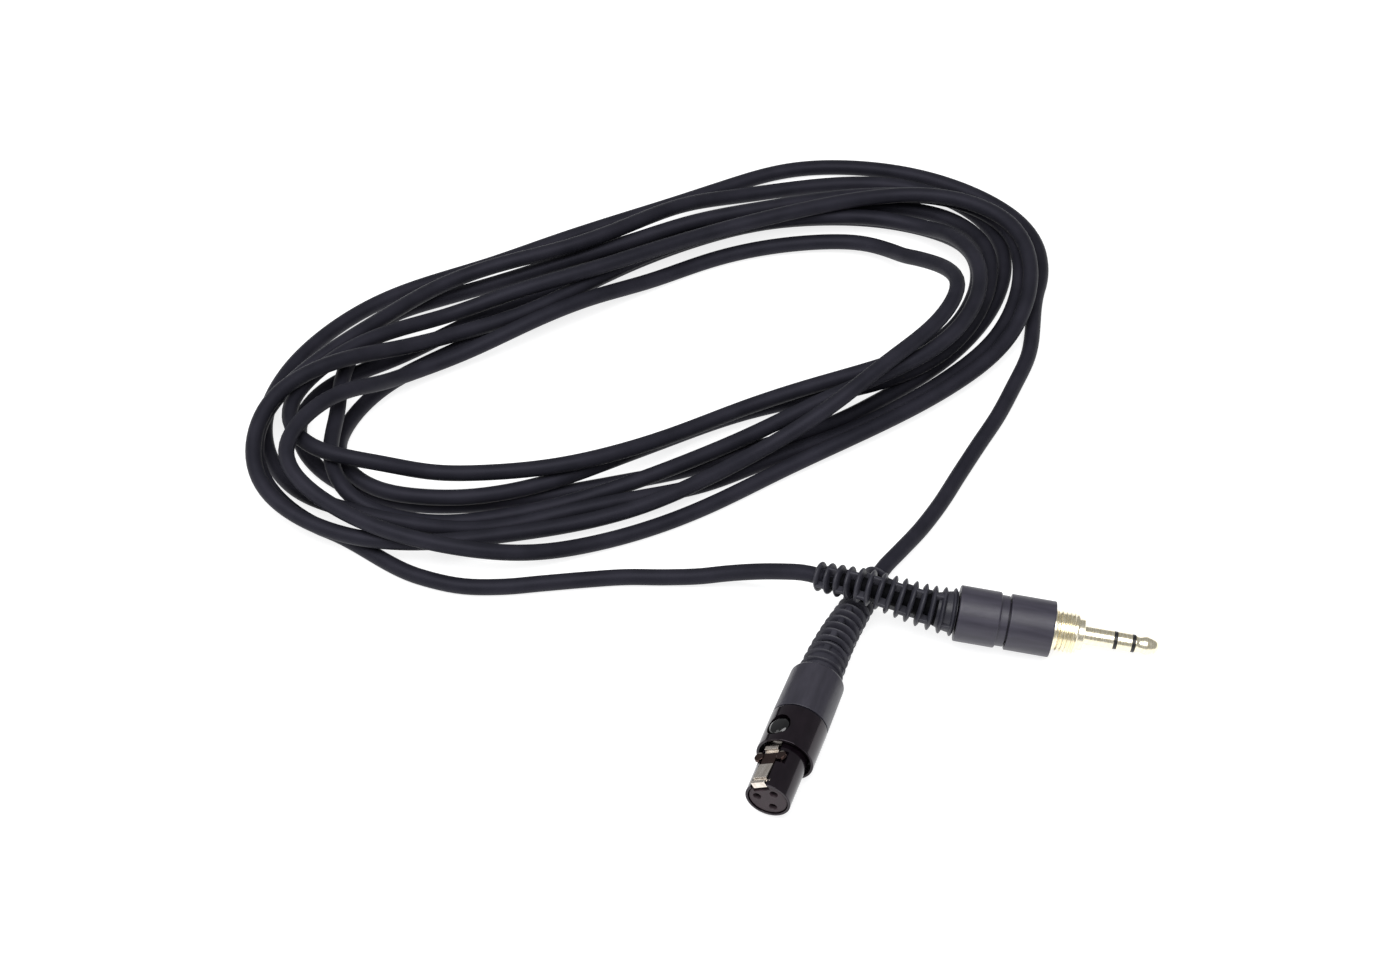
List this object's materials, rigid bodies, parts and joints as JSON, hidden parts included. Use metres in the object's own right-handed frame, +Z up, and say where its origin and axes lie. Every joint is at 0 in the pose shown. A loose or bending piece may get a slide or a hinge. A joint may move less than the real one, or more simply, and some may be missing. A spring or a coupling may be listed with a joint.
{
  "type": "audio cable coil",
  "caption": "Thin black audio cable laid in a loose hank, with a latching miniature connector on one end and a screw-locking 3.5 mm stereo jack on the other.",
  "frame": {"origin": "middle of the cable's plan box, on the surface it lies on", "axes": "+Z up, the way the hank is thin; +X to the picture's right, the way the jack's tip points; +Y away from the camera, so the miniature connector points to -Y"},
  "size_m": [0.1766, 0.178, 0.0141],
  "materials": {
    "cord_jacket": "satin charcoal-black PVC",
    "boot_rubber": "matt black moulded rubber",
    "black_barrel": "satin black lacquer",
    "black_shell": "gloss black plating",
    "insert_plastic": "matt dark insulating plastic",
    "spring_steel": "bright spring steel",
    "gold_plate": "gold-plated brass",
    "black_plastic": "gloss black plastic",
    "clamp_steel": "plain steel",
    "wire_red": "red insulation",
    "wire_white": "white insulation",
    "wire_black": "black insulation"
  },
  "bodies": {
    "cable": {"cord_coil": "cord_jacket", "cord_to_xlr": "cord_jacket", "cord_to_jack": "cord_jacket", "xlr_cord_tail": "cord_jacket", "jack_cord_tail": "cord_jacket", "xlr_boot": "boot_rubber", "jack_boot": "boot_rubber", "xlr_rear_sleeve": "black_barrel", "xlr_front_shell": "black_shell", "xlr_nose_tube": "black_shell", "xlr_socket_insert": "insert_plastic", "xlr_contact_1": "gold_plate", "xlr_contact_2": "gold_plate", "xlr_contact_3": "gold_plate", "xlr_latch_pin": "spring_steel", "xlr_cable_clamp": "clamp_steel", "xlr_wire_1": "wire_red", "xlr_wire_2": "wire_white", "xlr_wire_3": "wire_black", "jack_wire_1": "wire_red", "jack_wire_2": "wire_white", "jack_wire_3": "wire_black", "jack_rear_barrel": "black_barrel", "jack_sleeve_contact": "gold_plate", "jack_ring_contact": "gold_plate", "jack_tip_contact": "gold_plate", "jack_insulator_front": "black_plastic", "jack_insulator_rear": "black_plastic", "jack_cable_clamp": "clamp_steel"},
    "release_button": {"xlr_release_button": "black_plastic"},
    "latch": {"xlr_latch": "spring_steel"},
    "lock_nut": {"jack_lock_nut": "black_barrel"}
  },
  "joints": [
    {"name": "button_press", "type": "slide", "parent": "cable", "child": "release_button", "axis": [0.4586, -0.1572, -0.8746], "range_m": [0, 0.0008], "stiffness_N_per_m": 2500},
    {"name": "latch_swing", "type": "hinge", "parent": "cable", "child": "latch", "pos_m": [0.01219, -0.08582, 0.00875], "axis": [-0.8273, 0.2837, -0.4848], "range_deg": [0, 3.7]},
    {"name": "lock_nut_turn", "type": "hinge", "parent": "cable", "child": "lock_nut", "pos_m": [0.06373, -0.046, 0.00604], "axis": [0.9853, -0.1198, -0.122], "continuous": true}
  ],
  "couplings": [
    {"joint": "latch_swing", "follows": "button_press", "rad_per_m": 79.68}
  ]
}
